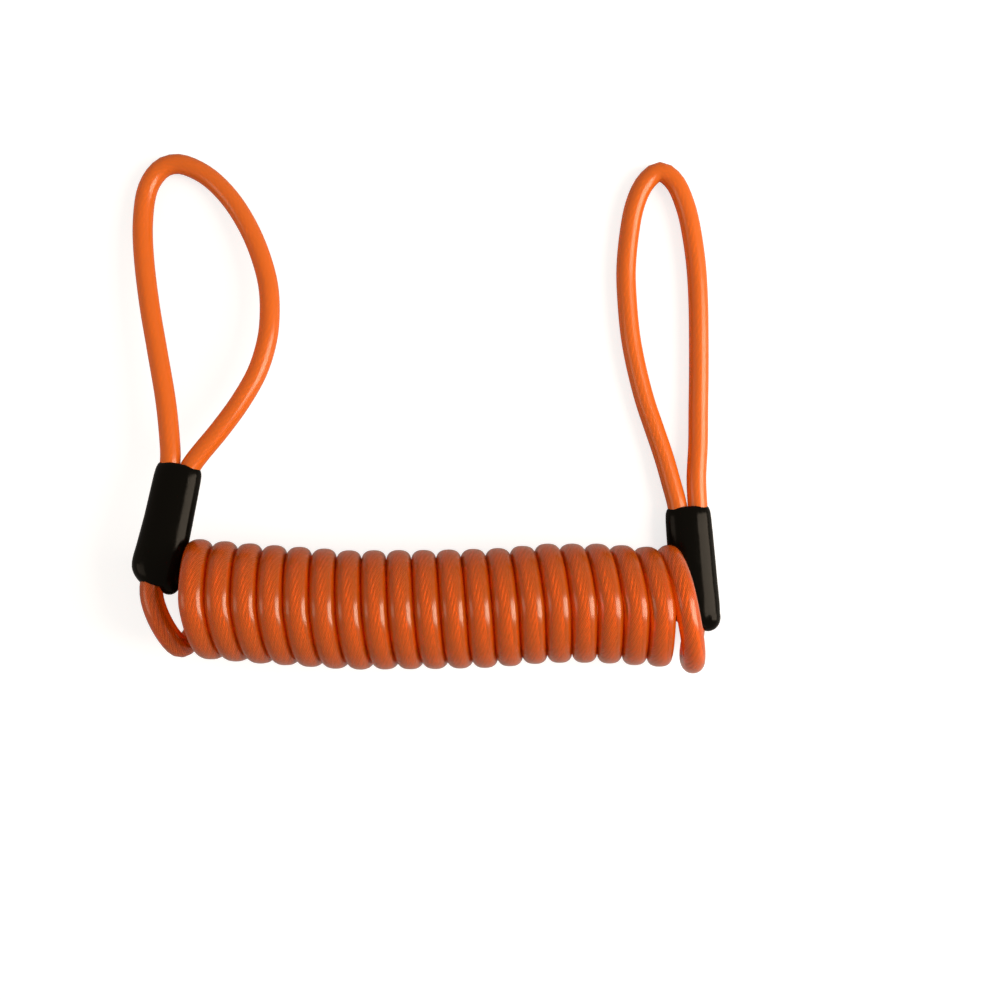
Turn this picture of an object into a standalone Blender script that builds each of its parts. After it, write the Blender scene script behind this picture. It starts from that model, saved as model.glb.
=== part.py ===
"""Coiled reminder cable: a sprung coil of plastic-covered wire rope with an eye at each end.

It lies on a table with the coil along X and both eyes pointing to +Y. Each eye is the cable's own end,
turned back on itself and crimped in a ferrule, which a moulded boot covers. Metres, +Z up, with the
origin under the middle of the whole object.
"""
from math import cos, radians, sin

import bmesh
import bpy
from mathutils import Matrix, Vector

MM = 0.001

# Cable
CABLE_DIAMETER = 4.7 * MM  # over the jacket in the coil, where forming it hot has spread the plastic
EYE_DIAMETER = 4.2 * MM  # over the jacket in the eyes, which stay as they were made
ROPE_DIAMETER = 2.0 * MM  # the bare steel rope
GAP = 0.3 * MM  # kept between pieces that touch on the real object

# Coil, closed up as it is at rest
COIL_DIAMETER = 24.5 * MM  # outside
COIL_LEFT_X = -47.6 * MM
COIL_LENGTH = 94.0 * MM
COIL_AXIS = [  # seen from above, in millimetres
    (-49.4, -39.1), (-33.4, -40.4), (-15.4, -41.6), (0.6, -41.5), (14.6, -41.2), (25.6, -40.2), (36.6, -40.2),
    (50.6, -41.1),
]
COIL_AXIS_STEP = 6 * MM

# Ferrule, an oval sleeve with two bores side by side
FERRULE_WALL = 0.75 * MM
FERRULE_BORE_SPACING = 3.1 * MM

# Boot, an oval sleeve that covers the ferrule
BOOT_LENGTH = 27 * MM
FERRULE_LENGTH = BOOT_LENGTH * 10 / 27
FERRULE_INSET = BOOT_LENGTH * 3.5 / 27  # between the jackets' ends and the ferrule
BOOT_WIDTH = 10.8 * MM
BOOT_THICKNESS = 6.4 * MM
BOOT_SHOULDER = 0.8 * MM  # length over which the section draws in at both mouths
BOOT_TAPER = 1.1 * MM  # how much narrower each side is at the lead's mouth
BOOT_LEAN = 0.6 * MM  # how far that mouth's middle lies toward the closed tip
LEG_SPACING = EYE_DIAMETER + GAP  # the eye's two legs, side by side in the mouth
LEG_DEPTH = BOOT_LENGTH / 6  # how far the jackets go into the mouth
LEAD_OFFSET = -0.5 * MM  # the single cable leaves beside the closed tip
LEAD_DEPTH = BOOT_LENGTH * 3.3 / 27
LEAD_STRAIGHT = 0.35  # share of the way to the route's first point over which the lead leaves straight
TIP_OFFSET = 3.1 * MM
TIP_RADIUS = 2.2 * MM
TIP_REACH = BOOT_LENGTH * 1.7 / 27  # how far the closed tip stands beyond the lead's mouth
TAIL_LENGTH = BOOT_LENGTH * 2.5 / 27  # rope left over past the ferrule

# Where each boot lies: its middle, its turn on the table and its slope, in degrees. Its hand is 1 where the
# closed tip lies on the boot's +X side and -1 where it lies on the other.
LEFT_BOOT = {"middle": (-53.4 * MM, -24.8 * MM, 11.5 * MM), "yaw": -11.0, "pitch": -6.8, "hand": 1}
RIGHT_BOOT = {"middle": (56.3 * MM, -33.7 * MM, BOOT_THICKNESS / 2), "yaw": 4.0, "pitch": 0, "hand": 1}

# Routes of the cable's free stretches, in millimetres. Those on the right, with their boot, are given for a
# coil that ends at RIGHT_END_X and move with its end.
RIGHT_END_X = 46.4 * MM
MOUTH_CLEAR = 3.9 * MM  # a point of a route that is nearer to a boot's mouth than this is left out
LEFT_EYE = [
    (-53.3, -5.8, 9.2), (-54.4, 2.2, 8.2), (-56.4, 12.2, 6.9), (-58.4, 22.2, 5.6), (-59.9, 32.2, 4.3),
    (-60.4, 40.2, 3.3), (-59.6, 47.2, 2.6), (-56.9, 51.5, 2.3), (-53.3, 52.7, 2.3), (-49.4, 51.5, 2.3),
    (-45.6, 49.0, 2.4), (-41.6, 44.7, 2.8), (-38.1, 39.2, 3.5), (-35.4, 33.2, 4.3), (-33.5, 26.6, 5.1),
    (-33.0, 20.2, 5.9), (-33.5, 14.2, 6.7), (-35.4, 7.7, 7.5), (-38.8, 1.4, 8.3), (-42.8, -4.3, 9.0),
]
RIGHT_EYE = [
    (51.9, -15.2, 2.9), (50.4, -9.8, 2.6), (48.4, -3.8, 2.4), (46.4, 2.2, 2.3), (44.6, 9.2, 2.3),
    (43.3, 16.2, 2.3), (42.6, 23.7, 2.3), (42.4, 30.2, 2.3), (43.0, 37.2, 2.3), (44.2, 43.7, 2.3),
    (46.4, 48.6, 2.3), (49.6, 51.0, 2.3), (52.9, 48.6, 2.3), (55.2, 43.2, 2.3), (56.5, 37.2, 2.3),
    (57.4, 30.2, 2.3), (57.8, 22.7, 2.3), (57.9, 15.2, 2.3), (57.9, 7.7, 2.3), (57.8, 0.2, 2.3),
    (57.7, -7.3, 2.5), (57.3, -14.3, 2.9),
]
LEFT_LEAD = [
    (-55.8, -39.6, 13.5), (-54.5, -43.0, 13.9), (-52.8, -46.3, 13.4), (-51.3, -48.8, 11.9),
]
RIGHT_LEAD = [
    (50.0, -30.3, 12.2), (50.5, -31.2, 16.0), (51.2, -33.6, 19.4), (52.0, -37.0, 21.5), (52.7, -40.9, 22.1),
    (53.6, -45.1, 21.3), (54.4, -48.9, 18.9), (54.9, -51.5, 15.8), (55.2, -52.5, 12.0), (55.4, -52.5, 8.4),
    (55.6, -51.3, 5.2),
]
ROUTE_STEP = 4 * MM  # between the points of an eye
LEAD_STEP = 2.5 * MM  # between the points of a lead, which bends tighter
RING_POINTS = 12  # quarter-round steps in an oval section, per end
CUT_EXTRA = 1 * MM  # how far a cutter runs past the face that it opens


def collection(name):
    made = bpy.data.collections.new(name)
    bpy.context.scene.collection.children.link(made)
    return made


def start_scene():
    for old in list(bpy.data.objects):
        bpy.data.objects.remove(old, do_unlink=True)
    return collection("coiled_reminder_cable"), collection("cutters")


def material(name, colour, roughness, metallic=0.0):
    made = bpy.data.materials.new(name)
    made.use_nodes = True
    surface = made.node_tree.nodes["Principled BSDF"]
    surface.inputs["Base Color"].default_value = (*colour, 1.0)
    surface.inputs["Roughness"].default_value = roughness
    surface.inputs["Metallic"].default_value = metallic
    return made


def smooth_route(points, step):
    """Points a step apart along a smooth curve through the given ones."""
    ends = [2 * points[0] - points[1], *points, 2 * points[-1] - points[-2]]
    fine = []
    for a, b, c, d in zip(ends, ends[1:], ends[2:], ends[3:]):
        for i in range(16):
            t = i / 16
            fine.append(
                0.5 * (2 * b + (c - a) * t + (2 * a - 5 * b + 4 * c - d) * t**2 + (3 * b - a - 3 * c + d) * t**3)
            )
    fine.append(points[-1])
    travelled = [0.0]
    for p, q in zip(fine, fine[1:]):
        travelled.append(travelled[-1] + (q - p).length)
    count = max(2, round(travelled[-1] / step))
    route, at = [], 0
    for i in range(count + 1):
        goal = travelled[-1] * i / count
        while at < len(fine) - 2 and travelled[at + 1] < goal:
            at += 1
        share = (goal - travelled[at]) / (travelled[at + 1] - travelled[at])
        route.append(fine[at].lerp(fine[at + 1], min(share, 1.0)))
    return route


def stretched(route, extra):
    """The same route, running straight on past both ends."""
    first = route[0] + (route[0] - route[1]).normalized() * extra
    last = route[-1] + (route[-1] - route[-2]).normalized() * extra
    return [first, *route, last]


def tube(name, route, radius, rounding, into, look=None):
    """A round solid along a route, as a bevelled curve with filled caps."""
    data = bpy.data.curves.new(name, "CURVE")
    data.dimensions = "3D"
    line = data.splines.new("POLY")
    line.points.add(len(route) - 1)
    for point, place in zip(line.points, route):
        point.co = (*place, 1.0)
    data.bevel_depth = radius
    data.bevel_resolution = rounding
    data.use_fill_caps = True
    if look:
        data.materials.append(look)
    made = bpy.data.objects.new(name, data)
    into.objects.link(made)
    return made


def as_mesh(curve):
    """Turns a curve object into a mesh object with welded caps, which can be cut or can cut."""
    bpy.context.view_layer.update()
    name, home = curve.name, curve.users_collection[0]
    mesh = bpy.data.meshes.new_from_object(curve.evaluated_get(bpy.context.evaluated_depsgraph_get()))
    bm = bmesh.new()
    bm.from_mesh(mesh)
    bmesh.ops.remove_doubles(bm, verts=bm.verts, dist=0.00001)
    bm.to_mesh(mesh)
    bm.free()
    made = bpy.data.objects.new(name + "_mesh", mesh)
    made.matrix_world = curve.matrix_world
    home.objects.link(made)
    bpy.data.objects.remove(curve, do_unlink=True)
    made.name = name
    return made


def oval_stack(name, rings, frame, into, look=None):
    """A closed loft of oval sections. A ring is (y, half width, half thickness, x of its middle)."""
    mesh = bpy.data.meshes.new(name)
    bm = bmesh.new()
    rows = []
    for y, half_width, half_thickness, middle in rings:
        row = []
        for side in (1, -1):
            for i in range(RING_POINTS + 1):
                turn = radians(90 - 180 * i / RING_POINTS)
                x = side * (half_width - half_thickness + half_thickness * cos(turn))
                row.append(bm.verts.new((middle + x, y, side * half_thickness * sin(turn))))
        rows.append(row)
    for low, high in zip(rows, rows[1:]):
        for i in range(len(low)):
            j = (i + 1) % len(low)
            bm.faces.new((low[i], low[j], high[j], high[i]))
    bm.faces.new(rows[0])
    bm.faces.new(list(reversed(rows[-1])))
    bmesh.ops.recalc_face_normals(bm, faces=bm.faces)
    bm.to_mesh(mesh)
    bm.free()
    if look:
        mesh.materials.append(look)
    made = bpy.data.objects.new(name, mesh)
    made.matrix_world = frame
    into.objects.link(made)
    return made


def rod(name, radius, low, high, x, frame, into):
    """A round cutter along the boot's own Y."""
    bpy.ops.mesh.primitive_cylinder_add(vertices=20, radius=radius, depth=high - low)
    made = bpy.context.object
    made.name = name
    place = Matrix.Translation((x, (low + high) / 2, 0)) @ Matrix.Rotation(radians(90), 4, "X")
    made.matrix_world = frame @ place
    for home in list(made.users_collection):
        home.objects.unlink(made)
    into.objects.link(made)
    return made


def combine(target, other, operation):
    step = target.modifiers.new(operation.lower() + "_" + other.name, "BOOLEAN")
    step.operation = operation
    step.object = other
    other.hide_render = True
    other.display_type = "WIRE"


def shade(made, angle=40):
    made.data.shade_smooth()
    made.data.set_sharp_from_angle(angle=radians(angle))


def boot_frame(place):
    yaw = Matrix.Rotation(radians(place["yaw"]), 4, "Z")
    return Matrix.Translation(place["middle"]) @ yaw @ Matrix.Rotation(radians(place["pitch"]), 4, "X")


def in_boot(frame, x, y):
    return frame @ Vector((x, y, 0))


def clear_of_boot(frame, points):
    """The points that lie well outside the boot, so that a longer boot doesn't run into its cable."""
    kept = []
    for p in points:
        near = frame.inverted() @ p
        room = (BOOT_WIDTH, BOOT_LENGTH / 2 + MOUTH_CLEAR, BOOT_THICKNESS)
        if any(abs(n) > r for n, r in zip(near, room)):
            kept.append(p)
    return kept


def make_boot(side, frame, hand, parts, cutters, look):
    """The moulded cover: open at the top for the eye's legs, and at the bottom for the lead only."""
    half, wide, thick = BOOT_LENGTH / 2, BOOT_WIDTH / 2, BOOT_THICKNESS / 2
    lead_mouth = -half + TIP_REACH
    drawn = BOOT_SHOULDER / 3
    body = oval_stack(
        side + "_boot",
        [
            (lead_mouth, wide - BOOT_TAPER, thick - drawn, hand * BOOT_LEAN),
            (lead_mouth + 1.5 * BOOT_SHOULDER, wide - BOOT_TAPER / 3, thick, hand * BOOT_LEAN / 3),
            (lead_mouth + 4 * BOOT_SHOULDER, wide, thick, 0),
            (half - 5 * BOOT_SHOULDER, wide - drawn / 2, thick, 0),
            (half - BOOT_SHOULDER, wide - drawn, thick - drawn / 2, 0),
            (half, wide - 1.5 * drawn, thick - drawn, 0),
        ],
        frame,
        parts,
        look,
    )
    bpy.ops.mesh.primitive_uv_sphere_add(segments=20, ring_count=12, radius=TIP_RADIUS)
    tip = bpy.context.object
    tip.name = side + "_boot_tip"
    tip.matrix_world = frame @ Matrix.Translation((hand * TIP_OFFSET, -half + TIP_RADIUS, 0))
    for home in list(tip.users_collection):
        home.objects.unlink(tip)
    cutters.objects.link(tip)
    combine(body, tip, "UNION")

    leg_room = EYE_DIAMETER / 2 + GAP
    lead_room = CABLE_DIAMETER / 2 + GAP
    ferrule_top = half - LEG_DEPTH - FERRULE_INSET
    ferrule_low = ferrule_top - FERRULE_LENGTH
    bore = ROPE_DIAMETER / 2 + GAP
    ferrule_wide = FERRULE_BORE_SPACING / 2 + bore + FERRULE_WALL
    mouth_floor = ferrule_top + 2 * GAP
    mouth = oval_stack(
        side + "_mouth_cut",
        [(y, LEG_SPACING / 2 + leg_room, leg_room, 0) for y in (mouth_floor, half + CUT_EXTRA)],
        frame,
        cutters,
    )
    pocket = oval_stack(
        side + "_pocket_cut",
        [
            (y, ferrule_wide + GAP, bore + FERRULE_WALL + GAP, 0)
            for y in (ferrule_low - GAP, mouth_floor + CUT_EXTRA)
        ],
        frame,
        cutters,
    )
    lead = rod(side + "_lead_cut", lead_room, -half - CUT_EXTRA, ferrule_low, hand * LEAD_OFFSET, frame, cutters)
    tail = rod(
        side + "_tail_cut",
        bore,
        ferrule_low - TAIL_LENGTH - GAP,
        ferrule_low,
        hand * FERRULE_BORE_SPACING / 2,
        frame,
        cutters,
    )
    for cutter in (mouth, pocket, lead, tail):
        combine(body, cutter, "DIFFERENCE")
    shade(body)
    return body, ferrule_low, ferrule_top


def make_ferrule(side, frame, low, high, parts, cutters, look):
    """The crimped sleeve that holds the two runs of bare rope together."""
    bore = ROPE_DIAMETER / 2 + GAP
    half_width = FERRULE_BORE_SPACING / 2 + bore + FERRULE_WALL
    half_thickness = bore + FERRULE_WALL
    body = oval_stack(
        side + "_ferrule",
        [(y, half_width, half_thickness, 0) for y in (low, high)],
        frame,
        parts,
        look,
    )
    for name, x in (("tail", FERRULE_BORE_SPACING / 2), ("main", -FERRULE_BORE_SPACING / 2)):
        hole = rod(f"{side}_{name}_bore", bore, low - CUT_EXTRA, high + CUT_EXTRA, x, frame, cutters)
        combine(body, hole, "DIFFERENCE")
    shade(body)
    return body


def make_eye(side, frame, hand, points, low, high, parts, cutters, jacket_look, rope_look):
    """The loop: a jacket from mouth to mouth, and the bare rope that goes on through the ferrule."""
    half = BOOT_LENGTH / 2
    leg, run = LEG_SPACING / 2, hand * FERRULE_BORE_SPACING / 2
    free = clear_of_boot(frame, points)
    start = [in_boot(frame, -leg, half - LEG_DEPTH), in_boot(frame, -leg, half)]
    finish = [in_boot(frame, leg, half), in_boot(frame, leg, half - LEG_DEPTH)]
    route = smooth_route(start + free + finish, ROUTE_STEP)

    jacket = tube(side + "_eye_jacket", route, EYE_DIAMETER / 2, 3, parts, jacket_look)
    jacket = as_mesh(jacket)
    bore = tube(side + "_jacket_bore", stretched(route, CUT_EXTRA), ROPE_DIAMETER / 2 + 1.5 * GAP, 2, cutters)
    combine(jacket, as_mesh(bore), "DIFFERENCE")
    shade(jacket)

    lead_end = in_boot(frame, hand * LEAD_OFFSET, -half + TIP_REACH + LEAD_DEPTH + GAP)
    down = [lead_end, *(in_boot(frame, -run, y) for y in (low - 2 * GAP, low, high, high + GAP))]
    up = [in_boot(frame, run, y) for y in (high + GAP, high, low, low - TAIL_LENGTH)]
    through = route if hand > 0 else list(reversed(route))
    rope = tube(side + "_eye_rope", down + through + up, ROPE_DIAMETER / 2, 2, parts, rope_look)
    return jacket, rope


def make_lead(side, frame, hand, points, parts, look):
    """The single cable between the boot and the coil."""
    mouth = -BOOT_LENGTH / 2 + TIP_REACH
    free = clear_of_boot(frame, points)
    nearest = free[0] if side == "left" else free[-1]
    out = (nearest - in_boot(frame, hand * LEAD_OFFSET, mouth)).length * LEAD_STRAIGHT
    inside = [in_boot(frame, hand * LEAD_OFFSET, mouth + y) for y in (-out, 0, LEAD_DEPTH)]
    route = list(reversed(inside)) + free if side == "left" else free + inside
    return tube(side + "_lead", smooth_route(route, LEAD_STEP), CABLE_DIAMETER / 2, 3, parts, look)


def make_coil(parts, look):
    """The closed coil's outer shape, along its slightly wavy axis."""
    height = COIL_DIAMETER / 2
    line = smooth_route([Vector((x * MM, y * MM, height)) for x, y in COIL_AXIS], COIL_AXIS_STEP / 4)
    right = COIL_LEFT_X + COIL_LENGTH

    def across(x):
        for p, q in zip(line, line[1:]):
            if p.x <= x <= q.x:
                return p.lerp(q, (x - p.x) / (q.x - p.x))
        nearest = line[0] if x < line[0].x else line[-1]
        return Vector((x, nearest.y, height))

    count = round(COIL_LENGTH / COIL_AXIS_STEP)
    route = [across(COIL_LEFT_X + (right - COIL_LEFT_X) * i / count) for i in range(count + 1)]
    return tube("coil_turns", route, COIL_DIAMETER / 2, 10, parts, look)


def build():
    parts, cutters = start_scene()
    jacket = material("orange_pvc", (0.75, 0.13, 0.01), 0.25)
    steel = material("steel_rope", (0.62, 0.60, 0.56), 0.35, 1.0)
    ferrule = material("aluminium_ferrule", (0.72, 0.73, 0.74), 0.4, 1.0)
    boot = material("black_pvc", (0.012, 0.013, 0.013), 0.25)

    make_coil(parts, jacket)
    for side, place, eye, lead, shift in (
        ("left", LEFT_BOOT, LEFT_EYE, LEFT_LEAD, 0),
        ("right", RIGHT_BOOT, RIGHT_EYE, RIGHT_LEAD, COIL_LEFT_X + COIL_LENGTH - RIGHT_END_X),
    ):
        move = Vector((shift, 0, 0))
        frame, hand = Matrix.Translation(move) @ boot_frame(place), place["hand"]
        eye, lead = ([Vector(p) * MM + move for p in points] for points in (eye, lead))
        shell, low, high = make_boot(side, frame, hand, parts, cutters, boot)
        make_ferrule(side, frame, low, high, parts, cutters, ferrule)
        make_eye(side, frame, hand, eye, low, high, parts, cutters, jacket, steel)
        make_lead(side, frame, hand, lead, parts, jacket)


build()
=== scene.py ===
from math import cos, radians, sin, tau

import bpy
import numpy as np
from mathutils import Matrix, Vector


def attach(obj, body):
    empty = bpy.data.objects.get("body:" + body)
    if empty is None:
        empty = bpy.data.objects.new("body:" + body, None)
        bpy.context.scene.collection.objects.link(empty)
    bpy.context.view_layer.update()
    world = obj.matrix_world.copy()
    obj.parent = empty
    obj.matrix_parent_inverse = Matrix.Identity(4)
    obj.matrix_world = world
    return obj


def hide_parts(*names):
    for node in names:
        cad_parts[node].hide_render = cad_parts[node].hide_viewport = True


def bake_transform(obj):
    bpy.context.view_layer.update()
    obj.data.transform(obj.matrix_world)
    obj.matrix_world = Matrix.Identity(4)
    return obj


mm = 0.001
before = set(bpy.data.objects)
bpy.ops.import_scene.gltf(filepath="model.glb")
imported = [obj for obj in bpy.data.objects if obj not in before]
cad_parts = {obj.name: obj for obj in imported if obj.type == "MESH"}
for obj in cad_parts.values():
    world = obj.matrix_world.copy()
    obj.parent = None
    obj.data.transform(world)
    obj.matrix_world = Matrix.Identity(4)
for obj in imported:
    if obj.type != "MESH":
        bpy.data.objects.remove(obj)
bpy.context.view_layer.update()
print("frame loaded")


# The camera stands straight above the table, a little right of the middle and below it.
camera = {"place": (15.5, -19.0, 286.0), "halfView": 500 / 1330}


def addCamera():
    data = bpy.data.cameras.new("camera")
    data.sensor_width = 36
    data.lens = 18 / camera["halfView"]
    data.clip_start = 0.01
    made = bpy.data.objects.new("camera", data)
    made.location = Vector(camera["place"]) * mm
    bpy.context.scene.collection.objects.link(made)
    bpy.context.scene.camera = made


addCamera()
print("camera placed")


def hexColour(text):
    parts = [int(text[i : i + 2], 16) / 255 for i in (1, 3, 5)]
    return (*[c / 12.92 if c <= 0.04045 else ((c + 0.055) / 1.055) ** 2.4 for c in parts], 1.0)


def addNode(tree, kind, settings=None, **links):
    # settings are the node's own or its sockets' values, links are sockets by name, with _ for a space
    node = tree.nodes.new(kind)
    for name, value in (settings or {}).items():
        if name in node.inputs:
            node.inputs[name].default_value = value
        else:
            setattr(node, name, value)
    for name, source in links.items():
        tree.links.new(source, node.inputs[name.replace("_", " ")])
    return node


def newMaterial(name, **values):
    made = bpy.data.materials.new(name)
    made.use_nodes = True
    surface = made.node_tree.nodes["Principled BSDF"]
    for socket, value in values.items():
        surface.inputs[socket.replace("_", " ")].default_value = value
    return made, made.node_tree, surface


def addBump(tree, surface, pattern, strength, height, **links):
    # height is in mm
    settings = {"Strength": strength, "Distance": height * mm}
    bump = addNode(tree, "ShaderNodeBump", settings, Height=pattern.outputs["Fac"], **links)
    tree.links.new(bump.outputs["Normal"], surface.inputs["Normal"])
    return bump.outputs["Normal"]


def setMix(node, first, second):
    # a colour Mix node's own colour sockets are its seventh and eighth
    node.inputs[6].default_value, node.inputs[7].default_value = first, second


uvUnit = 10.0  # mm of cable for each whole number of its UV map, along the cable


# Plasticised PVC, extruded over the rope: clear, dyed orange and a little cloudy. Heating the coil to set it
# has cleared the plastic there, so the rope's strands show golden and the thick sides look red.
jacketPvc = {
    "eye": {"dye": "#F8B838", "dyeDensity": 330.0, "clearShare": 0.5, "pigment": "#FF8026"},  # per metre
    "coil": {"dye": "#FFA828", "dyeDensity": 360.0, "clearShare": 0.72, "pigment": "#FF7C10"},
    "ior": 1.53,
    "specular": 0.18,
    "roughness": 0.21,
    "wavePitch": 2.6,  # mm between the slight waves that extruding leaves along it
    "waveHeight": 0.2,  # mm
}


def makeJacketPvc(stretch):
    kind = jacketPvc[stretch]
    made, tree, surface = newMaterial(
        stretch + "ExtrudedPvc",
        Base_Color=hexColour(kind["pigment"]),
        Transmission_Weight=kind["clearShare"],
        IOR=jacketPvc["ior"],
        Specular_IOR_Level=jacketPvc["specular"],
        Roughness=jacketPvc["roughness"],
    )
    uv = addNode(tree, "ShaderNodeTexCoord").outputs["UV"]
    scale = (uvUnit / jacketPvc["wavePitch"], 2.0, 1.0)
    place = addNode(tree, "ShaderNodeMapping", {"Scale": scale}, Vector=uv)
    waves = addNode(tree, "ShaderNodeTexNoise", {"Scale": 1.0, "Detail": 2.0}, Vector=place.outputs["Vector"])
    addBump(tree, surface, waves, 0.12, jacketPvc["waveHeight"])
    colour = {"Color": hexColour(kind["dye"]), "Density": kind["dyeDensity"]}
    dye = addNode(tree, "ShaderNodeVolumeAbsorption", colour)
    tree.links.new(dye.outputs["Volume"], tree.nodes["Material Output"].inputs["Volume"])
    return made


# Galvanised steel wire, drawn and laid up in strands: bright grey, with a fine twist of wires in each strand.
# The grooves between the wires are darkened with painted shade.
steelWire = {
    "colour": "#F6F0E4",
    # painted shade: the darker colour put into the grooves between the wires
    "grooveShade": "#A89C8A",
    "roughness": 0.5,
    "wires": 6,  # seen round a strand
    "wireLay": 7.0,  # mm for one turn of a wire
    "wireHeight": 0.05,  # mm
}


waveUnit = 10.0  # radians that a wave texture turns through for each unit of its coordinate


def makeSteelWire():
    made, tree, surface = newMaterial(
        "drawnSteelWire",
        Base_Color=hexColour(steelWire["colour"]),
        Metallic=1.0,
        Roughness=steelWire["roughness"],
    )
    uv = addNode(tree, "ShaderNodeTexCoord").outputs["UV"]
    across = steelWire["wires"] * tau / waveUnit
    along = -across * uvUnit / steelWire["wireLay"]
    turn = addNode(tree, "ShaderNodeMapping", {"Scale": (along, across, 1.0)}, Vector=uv)
    bands = {"Scale": 1.0, "bands_direction": "DIAGONAL"}
    wires = addNode(tree, "ShaderNodeTexWave", bands, Vector=turn.outputs["Vector"])
    addBump(tree, surface, wires, 0.4, steelWire["wireHeight"])
    # painted shade: the wave pattern darkens the steel's colour toward the groove colour in the grooves
    # between the wires
    shadedSteelTone = addNode(tree, "ShaderNodeMix", {"data_type": "RGBA"})
    tree.links.new(wires.outputs["Fac"], shadedSteelTone.inputs["Factor"])
    setMix(shadedSteelTone, hexColour(steelWire["grooveShade"]), hexColour(steelWire["colour"]))
    tree.links.new(shadedSteelTone.outputs[2], surface.inputs["Base Color"])
    return made


eyeMaterial = makeJacketPvc("eye")
coilMaterial = makeJacketPvc("coil")
wireMaterial = makeSteelWire()
print("cable materials made")


# The boots' places, and the cable's routes, as the model has them, in millimetres.
boot = {
    "length": 27.0,
    "tipReach": 1.7,  # how far the closed tip stands out past the lead's mouth
    "leadDepth": 3.3,
    "legDepth": 4.5,
    "leadOffset": -0.5,
    "legOffset": 2.15,
}
ferrule = {"runOffset": 1.55, "low": -4.5, "high": 5.5, "tail": 2.5}  # along the boot, from its middle
leftBoot = {"middle": (-53.4, -24.8, 11.5), "yaw": -11.0, "pitch": -6.8}
rightBoot = {"middle": (56.3, -33.7, 3.2), "yaw": 4.0, "pitch": 0.0}
leftEye = [
    (-53.3, -5.8, 9.2), (-54.4, 2.2, 8.2), (-56.4, 12.2, 6.9), (-58.4, 22.2, 5.6), (-59.9, 32.2, 4.3),
    (-60.4, 40.2, 3.3), (-59.6, 47.2, 2.6), (-56.9, 51.5, 2.3), (-53.3, 52.7, 2.3), (-49.4, 51.5, 2.3),
    (-45.6, 49.0, 2.4), (-41.6, 44.7, 2.8), (-38.1, 39.2, 3.5), (-35.4, 33.2, 4.3), (-33.5, 26.6, 5.1),
    (-33.0, 20.2, 5.9), (-33.5, 14.2, 6.7), (-35.4, 7.7, 7.5), (-38.8, 1.4, 8.3), (-42.8, -4.3, 9.0),
]
rightEye = [
    (51.9, -15.2, 2.9), (50.4, -9.8, 2.6), (48.4, -3.8, 2.4), (46.4, 2.2, 2.3), (44.6, 9.2, 2.3),
    (43.3, 16.2, 2.3), (42.6, 23.7, 2.3), (42.4, 30.2, 2.3), (43.0, 37.2, 2.3), (44.2, 43.7, 2.3),
    (46.4, 48.6, 2.3), (49.6, 51.0, 2.3), (52.9, 48.6, 2.3), (55.2, 43.2, 2.3), (56.5, 37.2, 2.3),
    (57.4, 30.2, 2.3), (57.8, 22.7, 2.3), (57.9, 15.2, 2.3), (57.9, 7.7, 2.3), (57.8, 0.2, 2.3),
    (57.7, -7.3, 2.5), (57.3, -14.3, 2.9),
]
leftLead = [(-55.8, -39.6, 13.5), (-54.5, -43.0, 13.9), (-52.8, -46.3, 13.4), (-51.3, -48.8, 11.9)]
underCoil = (-50.4, -49.8, 8.8)  # where the left lead turns in under the first turn
leadSmoothing = 4  # rounds, so that a lead bends as evenly as stiff cable does
rightLead = [
    (50.0, -30.3, 12.2), (50.5, -31.2, 16.0), (51.2, -33.6, 19.4), (52.0, -37.0, 21.5), (52.7, -40.9, 22.1),
    (53.6, -45.1, 21.3), (54.4, -48.9, 18.9), (54.9, -51.5, 15.8), (55.2, -52.5, 12.0), (55.4, -52.5, 8.4),
    (55.6, -51.3, 5.2),
]
coil = {
    "axis": [
        (-49.4, -39.1), (-33.4, -40.4), (-15.4, -41.6), (0.6, -41.5),
        (14.6, -41.2), (25.6, -40.2), (36.6, -40.2), (50.6, -41.1),
    ],
    "radius": 9.9,  # of the cable's centre
    "height": 12.25,
    "firstTop": -45.72,  # where the first turn passes over the top
    "pitch": 5.2,
    "start": -0.43,  # in turns
    "end": 18.5,
    "leans": {"left": (0.7, 0.9), "right": (-1.0, -1.0)},  # how far a turn's +Y and -Y sides lean along it
    "steps": 40,  # route points to a turn
}
cable = {
    "coilWidth": 4.7,
    "eyeWidth": 4.2,
    "pressed": 1.09,  # pressed together while hot, the turns are this much wider along the coil
    "flatness": 2.5,  # of the pressed section: 2 is an ellipse
    "step": 1.35,  # between rings
    "eyeStep": 1.5,
    "sides": 28,
    "sideClear": 0.03,  # between it and its bore in a boot
}


def bootFrame(place):
    yaw = Matrix.Rotation(radians(place["yaw"]), 4, "Z")
    pitch = Matrix.Rotation(radians(place["pitch"]), 4, "X")
    return Matrix.Translation(Vector(place["middle"])) @ yaw @ pitch


def inBoot(place, x, y):
    return tuple(bootFrame(place) @ Vector((x, y, 0)))


def coilPoint(turns):
    x = coil["firstTop"] + coil["pitch"] * turns
    along = [p[0] for p in coil["axis"]]
    middle = float(np.interp(x, along, [p[1] for p in coil["axis"]]))
    share = (turns - coil["start"]) / (coil["end"] - coil["start"])
    angle = tau / 4 + tau * turns
    (leftFar, leftNear), (rightFar, rightNear) = coil["leans"]["left"], coil["leans"]["right"]
    far, near = max(0.0, cos(angle)), max(0.0, -cos(angle))
    lean = (far * leftFar + near * leftNear) * max(0.0, 1 - 2 * share)
    lean += (far * rightFar + near * rightNear) * max(0.0, 2 * share - 1)
    return x + lean, middle + coil["radius"] * cos(angle), coil["height"] + coil["radius"] * sin(angle)


def lengthAlong(route):
    # how far along the route each of its points lies
    return np.concatenate([[0], np.cumsum(np.linalg.norm(np.diff(route, axis=0), axis=1))])


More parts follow.
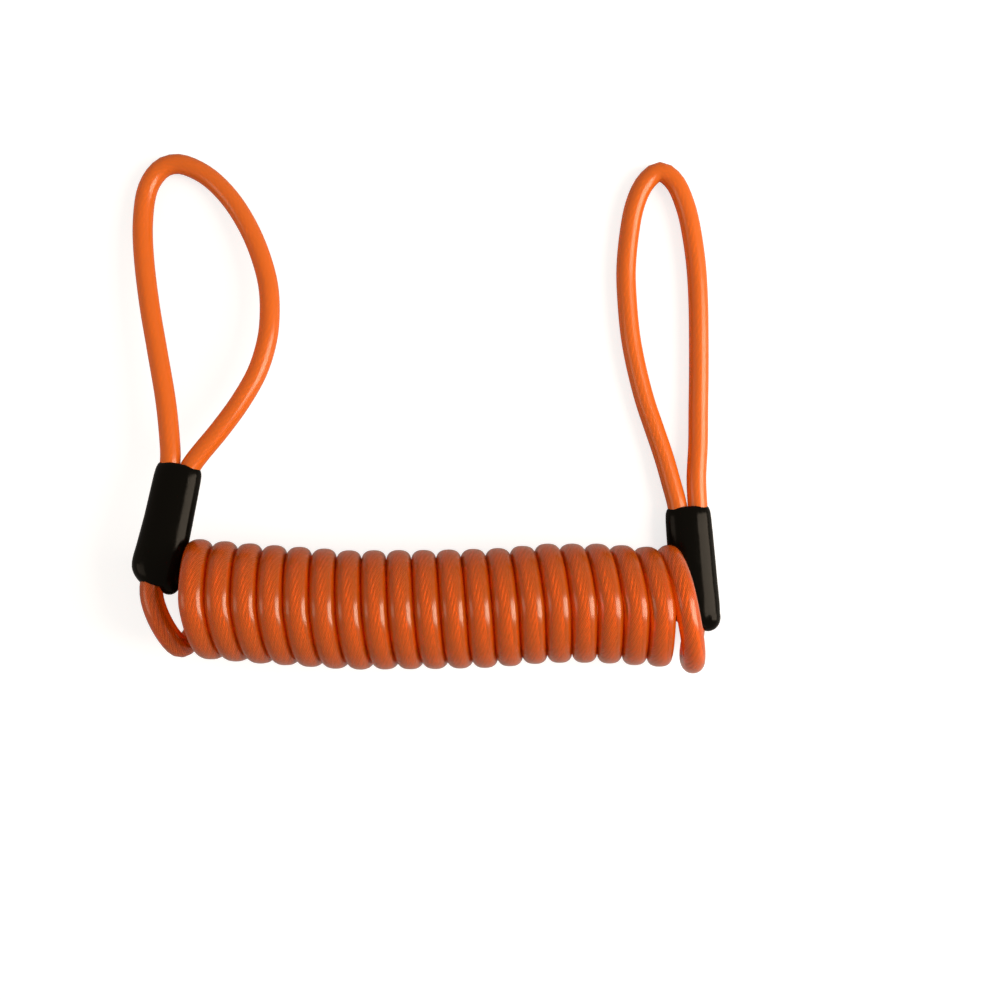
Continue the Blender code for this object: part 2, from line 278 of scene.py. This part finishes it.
def smoothRoute(points, step):
    # evenly spaced points on a smooth curve through the given ones
    p = np.array(points, float)
    p = np.vstack([2 * p[0] - p[1], p, 2 * p[-1] - p[-2]])
    a, b, c, d = p[:-3, None], p[1:-2, None], p[2:-1, None], p[3:, None]
    t = (np.arange(24) / 24)[None, :, None]
    bend, swing = 2 * a - 5 * b + 4 * c - d, 3 * b - a - 3 * c + d
    fine = 0.5 * (2 * b + (c - a) * t + bend * t**2 + swing * t**3)
    fine = np.vstack([fine.reshape(-1, 3), p[-2]])
    run = lengthAlong(fine)
    count = max(2, round(run[-1] / step))
    at = np.linspace(0, run[-1], count + 1)
    return np.column_stack([np.interp(at, run, fine[:, k]) for k in range(3)])


def sideways(route):
    # two directions across the route at each point, carried along it without twisting
    along = np.gradient(route, axis=0)
    along /= np.linalg.norm(along, axis=1)[:, None]
    first = np.cross(along[0], (0.0, 0.0, 1.0))
    if np.linalg.norm(first) < 0.1:
        first = np.cross(along[0], (1.0, 0.0, 0.0))
    across = [first / np.linalg.norm(first)]
    for direction in along[1:]:
        turned = across[-1] - direction * (across[-1] @ direction)
        across.append(turned / np.linalg.norm(turned))
    across = np.array(across)
    return across, np.cross(along, across)


def ringsAlong(route, frames, radius, sides, offset=None, wider=None):
    # rings of points round the route, or round a line that is offset from it, made wider along X where wanted
    turn = np.arange(sides) * tau / sides
    across, up = frames
    middle = route if offset is None else route + offset
    ring = np.cos(turn)[None, :, None] * across[:, None] + np.sin(turn)[None, :, None] * up[:, None]
    if wider is not None:
        flat = cable["flatness"]
        along = np.minimum(np.abs(ring[:, :, 0]), 1)
        fuller = (along**flat + (1 - along**2) ** (flat / 2)) ** (-1 / flat)
        ring *= 1 + (fuller[:, :, None] - 1) * ((wider - 1) / (cable["pressed"] - 1))[:, None, None]
        ring[:, :, 0] *= wider[:, None]
    return middle[:, None] + radius * ring


def tubeMesh(name, tubes, shares, material):
    # one mesh of closed tubes: a tube is an array of rings, and shares say how far along the bend each is
    co, faces, uv, weights = [], [], [], []
    for rings, alongMm in tubes:
        count, sides = rings.shape[:2]
        base = sum(len(c) for c in co)
        co.append(rings.reshape(-1, 3) * mm)
        weights.append(np.repeat(shares, sides))
        for i in range(count - 1):
            for j in range(sides):
                k = (j + 1) % sides
                low, high = base + i * sides, base + (i + 1) * sides
                faces.append((low + j, low + k, high + k, high + j))
                u, v = alongMm[i] / uvUnit, alongMm[i + 1] / uvUnit
                uv += [(u, j / sides), (u, (j + 1) / sides), (v, (j + 1) / sides), (v, j / sides)]
        faces.append(tuple(base + j for j in reversed(range(sides))))
        uv += [(0.0, 0.0)] * sides
        last = base + (count - 1) * sides
        faces.append(tuple(last + j for j in range(sides)))
        uv += [(0.0, 0.0)] * sides
    mesh = bpy.data.meshes.new(name)
    mesh.from_pydata(np.vstack(co).tolist(), [], faces)
    layer = mesh.uv_layers.new(name="UVMap")
    layer.data.foreach_set("uv", np.array(uv, np.float32).ravel())
    mesh.polygons.foreach_set("use_smooth", [len(f) == 4 for f in faces])
    mesh.materials.append(material)
    mesh.update()
    made = bpy.data.objects.new(name, mesh)
    bpy.context.scene.collection.objects.link(made)
    return made, np.concatenate(weights)


def bendBetween(piece, weights):
    rest = np.zeros(len(piece.data.vertices) * 3, np.float32)
    piece.data.vertices.foreach_get("co", rest)
    straight = np.zeros((len(weights), 3), np.float32)
    straight[:, 0] = 0.5 - np.sin(np.arcsin(1 - 2 * np.clip(weights, 0, 1)) / 3)
    piece.data.vertices.foreach_set("co", straight.ravel())
    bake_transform(piece)
    piece.data.vertices.foreach_set("co", rest)
    piece.data.update()


# The pressed section eases in over the ramp, and eases out to end this far beyond the coil, in mm.
pressing = {"ramp": 12.0, "beyond": 20.0}


# Seven strands of seven wires: six laid right-handed round a straight one.
rope = {"radius": 1.0, "strand": 0.335, "lay": 13.0, "strands": 6, "sides": 8, "coreSides": 6}


def makeRope(name, route, frames, shares, start=0.0):
    run = start + lengthAlong(route)
    across, up = frames
    tubes = [(ringsAlong(route, frames, rope["strand"], rope["coreSides"]), run)]
    out = rope["radius"] - rope["strand"]
    for strand in range(rope["strands"]):
        angle = tau * run / rope["lay"] + tau * strand / rope["strands"]
        offset = out * (np.cos(angle)[:, None] * across + np.sin(angle)[:, None] * up)
        tubes.append((ringsAlong(route, frames, rope["strand"], rope["sides"], offset), run))
    return tubeMesh(name, tubes, shares, wireMaterial)


def makeJacket(name, route, frames, width, shares, material, start=0.0, wider=None):
    rings = ringsAlong(route, frames, width / 2, cable["sides"], None, wider)
    return tubeMesh(name, [(rings, start + lengthAlong(route))], shares, material)


def makeEye(side, place, points):
    half, leg, run = boot["length"] / 2, boot["legOffset"], ferrule["runOffset"]
    deep = half - boot["legDepth"]
    firstLeg = [inBoot(place, -leg, deep), inBoot(place, -leg, half)]
    lastLeg = [inBoot(place, leg, half), inBoot(place, leg, deep)]
    route = smoothRoute(firstLeg + points + lastLeg, cable["eyeStep"])
    body = side + "_eye"
    still = np.zeros(len(route))
    jacket, _ = makeJacket(side + "EyeJacket", route, sideways(route), cable["eyeWidth"], still, eyeMaterial)
    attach(jacket, body)
    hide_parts(side + "_eye_jacket")
    length = float(lengthAlong(route)[-1]) * mm
    # the rope goes on bare through the ferrule, to the lead at one end and to its cut tail at the other
    low, high = ferrule["low"], ferrule["high"]
    leadEnd = inBoot(place, boot["leadOffset"], -half + boot["tipReach"] + boot["leadDepth"] + 0.1)
    standing = [leadEnd, inBoot(place, -run, low - 0.5), inBoot(place, -run, high + 0.3), tuple(route[0])]
    tail = [tuple(route[-1]), inBoot(place, run, high + 0.3), inBoot(place, run, low - ferrule["tail"])]
    down, up = smoothRoute(standing, cable["eyeStep"]), smoothRoute(tail, cable["eyeStep"])
    whole = np.vstack([down[:-1], route, up[1:]])
    bare, _ = makeRope(side + "EyeRope", whole, sideways(whole), np.zeros(len(whole)))
    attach(bare, body)
    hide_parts(side + "_eye_rope")
    return length


def nearestTo(route, place):
    return int(np.linalg.norm(route - np.array(place), axis=1).argmin())


def woundRoute():
    # the cable's middle from one boot to the other, in one line, and the places on it where the coil ends
    mouth = boot["tipReach"] - boot["length"] / 2
    inside = [mouth + boot["leadDepth"], mouth, mouth - 1.5]
    points = [inBoot(leftBoot, boot["leadOffset"], y) for y in inside] + leftLead + [underCoil]
    turns = np.arange(coil["start"] - 0.2, coil["end"] + 0.14, 1 / coil["steps"])
    points += [coilPoint(t) for t in turns]
    points += rightLead + [inBoot(rightBoot, boot["leadOffset"], y) for y in reversed(inside)]
    route = smoothRoute(points, cable["step"])
    cuts = [nearestTo(route, coilPoint(coil[end])) for end in ("start", "end")]
    straight = round((boot["leadDepth"] + 1) / cable["step"])
    for _ in range(leadSmoothing):
        for a, b in ((straight, cuts[0] + 1), (cuts[1] + 8, len(route) - 1 - straight)):
            route[a:b] = (route[a - 1 : b - 1] + 2 * route[a:b] + route[a + 1 : b + 1]) / 4
    return route, cuts


def makeWound():
    route, cuts = woundRoute()
    frames = sideways(route)
    run = lengthAlong(route)
    inCoil = np.minimum(run - run[cuts[0]], run[cuts[1]] + pressing["beyond"] - run)
    inCoil = np.clip(inCoil / pressing["ramp"], 0, 1)
    wider = 1 + (cable["pressed"] - 1) * inCoil * inCoil * (3 - 2 * inCoil)
    spans = {  # the two route points, the two bodies at its ends, and the node it replaces
        "leftLead": (0, cuts[0], "left_eye", "coil", "left_lead"),
        "coil": (cuts[0], cuts[1], "coil", "coil_far_end", "coil_turns"),
        "rightLead": (cuts[1], len(route) - 1, "coil_far_end", "right_eye", "right_lead"),
    }
    lengths = {}
    for name, (a, b, start, end, node) in spans.items():
        span = slice(a, b + 1)
        part = route[span]
        shares = (run[span] - run[a]) / (run[b] - run[a])
        turned = tuple(f[span] for f in frames)
        width, pressed = cable["coilWidth"], wider[span]
        jacket, weights = makeJacket(
            name + "Jacket", part, turned, width, shares, coilMaterial, run[a], pressed
        )
        bendBetween(jacket, weights)
        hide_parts(node)
        lengths[name] = float(run[b] - run[a]) * mm
        bare, weights = makeRope(name + "Rope", part, turned, shares, run[a])
        bendBetween(bare, weights)
    return lengths


lengths = makeWound()
lengths["leftEye"] = makeEye("left", leftBoot, leftEye)
lengths["rightEye"] = makeEye("right", rightBoot, rightEye)
print("cables made, in metres:", {k: round(v, 3) for k, v in lengths.items()})


# Plasticised PVC, dip-moulded over the joint: black, glossy, and slightly wavy where it cooled.
bootPvc = {
    "colour": "#060605",
    "ior": 1.53,
    "specular": 0.06,
    "roughness": (0.11, 0.24),
    "waveSize": 5.0,  # mm
    "waveHeight": 0.4,
    "grainSize": 0.5,
    "grainHeight": 0.05,
}


def makeBootPvc():
    made, tree, surface = newMaterial(
        "mouldedPvc",
        Base_Color=hexColour(bootPvc["colour"]),
        IOR=bootPvc["ior"],
        Specular_IOR_Level=bootPvc["specular"],
    )
    place = addNode(tree, "ShaderNodeTexCoord").outputs["Object"]
    waveScale, grainScale = (1 / (bootPvc[size] * mm) for size in ("waveSize", "grainSize"))
    waves = addNode(tree, "ShaderNodeTexNoise", {"Scale": waveScale, "Detail": 1.0}, Vector=place)
    grain = addNode(tree, "ShaderNodeTexNoise", {"Scale": grainScale, "Detail": 2.0}, Vector=place)
    glossy, dull = bootPvc["roughness"]
    spread = {"From Min": 0.3, "From Max": 0.7, "To Min": glossy, "To Max": dull}
    rough = addNode(tree, "ShaderNodeMapRange", spread, Value=grain.outputs["Fac"])
    tree.links.new(rough.outputs["Result"], surface.inputs["Roughness"])
    wavy = addBump(tree, surface, waves, 0.25, bootPvc["waveHeight"])
    addBump(tree, surface, grain, 0.03, bootPvc["grainHeight"], Normal=wavy)
    return made


bootMaterial = makeBootPvc()


# Aluminium tube, pressed oval round the ropes: dull, with faint marks from the die.
pressedAluminium = {
    "colour": "#C9CBCC",
    "roughness": 0.38,
    "dieMarks": 0.8,  # mm between marks
    "markHeight": 0.1,
    "markScale": 0.314,  # the wave texture's, for marks a metre apart
}


def makeFerruleMetal():
    made, tree, surface = newMaterial(
        "pressedAluminium",
        Base_Color=hexColour(pressedAluminium["colour"]),
        Metallic=1.0,
        Roughness=pressedAluminium["roughness"],
    )
    place = addNode(tree, "ShaderNodeTexCoord").outputs["Object"]
    scale = pressedAluminium["markScale"] / (pressedAluminium["dieMarks"] * mm)
    across = {"Scale": scale, "Distortion": 1.5, "bands_direction": "Y"}
    marks = addNode(tree, "ShaderNodeTexWave", across, Vector=place)
    addBump(tree, surface, marks, 0.3, pressedAluminium["markHeight"])
    return made


ferruleMaterial = makeFerruleMetal()
for side in ("left", "right"):
    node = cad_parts[side + "_ferrule"]
    node.data.materials.clear()
    node.data.materials.append(ferruleMaterial)


# The boot's outside, as oval rings along it, from the eye's mouth down: place, half width, half thickness and
# how far the ring's middle lies toward the closed tip.
bootShell = {
    "rings": [
        (13.5, 3.75, 2.15, 0.0), (13.25, 4.3, 2.55, 0.0), (12.7, 4.65, 2.8, 0.0), (11.8, 4.85, 2.95, 0.0),
        (10.3, 4.95, 3.05, 0.0), (6.0, 5.02, 3.12, 0.05), (1.5, 5.1, 3.2, 0.1), (-4.0, 5.27, 3.2, 0.05),
        (-7.0, 5.42, 3.2, 0.0), (-8.3, 5.4, 3.18, 0.03), (-9.4, 5.25, 3.12, 0.13), (-10.3, 4.93, 3.0, 0.33),
        (-11.0, 4.55, 2.88, 0.57), (-11.6, 4.1, 2.7, 0.8), (-12.0, 3.65, 2.5, 0.9),
    ],
    "lobes": {
        "left": {"x": 3.2, "y": -11.0, "radius": 2.2, "stretch": 1.1},
        "right": {"x": 2.6, "y": -10.4, "radius": 2.8, "stretch": 1.1},
    },
    "soft": 0.92,  # 0 is a flat top with round edges, 1 an ellipse
    "voxel": 0.3,
    "smoothing": 14,  # rounds, which ease the tip into the body
    "pocket": (3.95, 2.4),  # half width and half thickness of the room for the ferrule
}


def selectOnly(*pieces):
    bpy.ops.object.select_all(action="DESELECT")
    for piece in pieces:
        piece.select_set(True)
    bpy.context.view_layer.objects.active = pieces[-1]


def ovalStack(name, rings, middle=0.0, soft=0.0, steps=12):
    # a closed loft of oval sections along Y
    verts, faces = [], []
    for y, wide, thick, *shift in rings:
        for half in (1, -1):
            for i in range(steps + 1):
                turn = radians(90 - 180 * i / steps)
                side = thick + soft * (wide - thick)  # how much of the width is in the round sides
                x = half * (wide - side + side * cos(turn))
                verts.append((middle + sum(shift) + x, y, half * thick * sin(turn)))
    size = 2 * (steps + 1)
    for r in range(len(rings) - 1):
        for i in range(size):
            j = (i + 1) % size
            faces.append((r * size + i, r * size + j, (r + 1) * size + j, (r + 1) * size + i))
    faces.append(tuple(range(size)))
    faces.append(tuple(reversed(range((len(rings) - 1) * size, len(rings) * size))))
    mesh = bpy.data.meshes.new(name)
    mesh.from_pydata(verts, [], faces)
    made = bpy.data.objects.new(name, mesh)
    bpy.context.scene.collection.objects.link(made)
    selectOnly(made)
    bpy.ops.object.mode_set(mode="EDIT")
    bpy.ops.mesh.select_all(action="SELECT")
    bpy.ops.mesh.normals_make_consistent(inside=False)
    bpy.ops.object.mode_set(mode="OBJECT")
    return made


def applyModifier(piece, kind, **settings):
    step = piece.modifiers.new(kind.lower(), kind)
    for name, value in settings.items():
        setattr(step, name, value)
    selectOnly(piece)
    bpy.ops.object.modifier_apply(modifier=step.name)


def cutWith(piece, cutter):
    applyModifier(piece, "BOOLEAN", operation="DIFFERENCE", solver="EXACT", object=cutter)
    bpy.data.objects.remove(cutter, do_unlink=True)


def makeBoot(side, place):
    shell = bootShell
    body = ovalStack(side + "Boot", shell["rings"], 0.0, shell["soft"])
    lobe = shell["lobes"][side]
    where = (lobe["x"], lobe["y"], 0)
    bpy.ops.mesh.primitive_uv_sphere_add(segments=32, ring_count=16, radius=lobe["radius"], location=where)
    tip = bpy.context.object
    tip.scale.y = lobe["stretch"]
    selectOnly(tip)
    bpy.ops.object.transform_apply(location=True, rotation=True, scale=True)
    selectOnly(tip, body)
    bpy.ops.object.join()
    body.data.remesh_voxel_size = shell["voxel"]
    bpy.ops.object.voxel_remesh()
    applyModifier(body, "SMOOTH", factor=0.5, iterations=shell["smoothing"])

    # a mouth for both legs, a pocket for the ferrule, and bores for the lead, its rope and the tail
    half, low = boot["length"] / 2, ferrule["low"]
    deep = half - boot["legDepth"]
    legRoom, leadRoom = (cable[width] / 2 + cable["sideClear"] for width in ("eyeWidth", "coilWidth"))
    mouthRoom = boot["legOffset"] + legRoom
    bores = {
        "mouth": ([(deep - 0.2, mouthRoom, legRoom), (half + 1, mouthRoom, legRoom)], 0.0),
        "pocket": ([(low - 0.3, *shell["pocket"]), (deep, *shell["pocket"])], 0.0),
        "leadBore": (
            [(-half - 1, leadRoom, leadRoom - 0.001), (low - 3.9, leadRoom, leadRoom - 0.001)],
            boot["leadOffset"],
        ),
        "ropeBore": ([(low - 4.1, 2.4, 1.3), (low, 3.2, 1.3)], -0.6),
        "tailBore": ([(low - ferrule["tail"] - 0.3, 1.3, 1.299), (low, 1.3, 1.299)], ferrule["runOffset"]),
    }
    for name, (rings, middle) in bores.items():
        cutWith(body, ovalStack(name, rings, middle))
    body.data.materials.clear()
    body.data.materials.append(bootMaterial)
    selectOnly(body)
    bpy.ops.object.shade_smooth_by_angle(angle=radians(40))
    body.data.transform(Matrix.Scale(mm, 4) @ bootFrame(place))
    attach(body, side + "_eye")
    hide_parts(side + "_boot")


makeBoot("left", leftBoot)
makeBoot("right", rightBoot)
print("boots made")


# A wide pale table with a faint grain, lit so that it looks white.
table = {
    "size": 8.0,  # metres
    "below": 0.05,  # mm under the object
    "colour": "#AAB2BE",
    "roughness": 0.6,
    "glow": 0.72,
    "grainScale": 900.0,
    "grainHeight": 0.1,
}


def makeTable():
    bpy.ops.mesh.primitive_plane_add(size=table["size"], location=(0, 0, -table["below"] * mm))
    floor = bpy.context.object
    floor.name = "tableTop"
    made, tree, surface = newMaterial(
        "paleTable",
        Base_Color=hexColour(table["colour"]),
        Roughness=table["roughness"],
        Emission_Color=(1, 1, 1, 1),
    )
    grain = addNode(tree, "ShaderNodeTexNoise", {"Scale": table["grainScale"], "Detail": 2.0})
    addBump(tree, surface, grain, 0.02, table["grainHeight"])
    # the glow is seen and isn't thrown on the object
    seen = addNode(tree, "ShaderNodeLightPath").outputs["Is Camera Ray"]
    glow = addNode(tree, "ShaderNodeMath", {"operation": "MULTIPLY"})
    tree.links.new(seen, glow.inputs[0])
    glow.inputs[1].default_value = table["glow"]
    tree.links.new(glow.outputs[0], surface.inputs["Emission Strength"])
    floor.data.materials.append(made)


lights = [  # place and size in mm, and brightness of the panel itself
    {"name": "windowSide", "place": (512, -40, 335), "size": (330, 500), "brightness": 10.0},
    {"name": "fillSide", "place": (-500, -60, 300), "size": (200, 300), "brightness": 2.2},
]
room = {"walls": 0.62, "ceiling": 0.55, "tint": "#FFEAD0"}  # brightness and colour round the table
aim = (0.0, -20.0, 0.0)  # where both lights point


def addLights():
    for light in lights:
        data = bpy.data.lights.new(light["name"], "AREA")
        data.shape = "RECTANGLE"
        data.size, data.size_y = (s * mm for s in light["size"])
        data.energy = light["brightness"] * tau / 2 * data.size * data.size_y
        data.color = hexColour(room["tint"])[:3]
        made = bpy.data.objects.new(light["name"], data)
        made.location = Vector(light["place"]) * mm
        made.rotation_euler = (Vector(aim) * mm - made.location).to_track_quat("-Z", "Y").to_euler()
        bpy.context.scene.collection.objects.link(made)


def addRoom():
    # even walls and ceiling, with a white backdrop that only the camera sees
    world = bpy.data.worlds.new("studio")
    bpy.context.scene.world = world
    world.use_nodes = True
    tree = world.node_tree
    look = addNode(tree, "ShaderNodeTexCoord").outputs["Generated"]
    height = addNode(tree, "ShaderNodeSeparateXYZ", Vector=look).outputs["Z"]
    levels = {"From Min": 0.3, "From Max": 0.8, "To Min": room["walls"], "To Max": room["ceiling"]}
    band = addNode(tree, "ShaderNodeMapRange", levels, Value=height)
    seen = addNode(tree, "ShaderNodeLightPath").outputs["Is Camera Ray"]
    backdrop = addNode(tree, "ShaderNodeMath", {"operation": "MAXIMUM"})
    tree.links.new(seen, backdrop.inputs[0])
    tree.links.new(band.outputs["Result"], backdrop.inputs[1])
    tree.links.new(backdrop.outputs[0], tree.nodes["Background"].inputs["Strength"])
    tint = addNode(tree, "ShaderNodeMix", {"data_type": "RGBA"})
    tree.links.new(seen, tint.inputs["Factor"])
    setMix(tint, hexColour(room["tint"]), (1, 1, 1, 1))
    tree.links.new(tint.outputs[2], tree.nodes["Background"].inputs["Color"])


makeTable()
addLights()
addRoom()
bpy.context.scene.view_settings.view_transform = "Standard"
print("table and lights set")
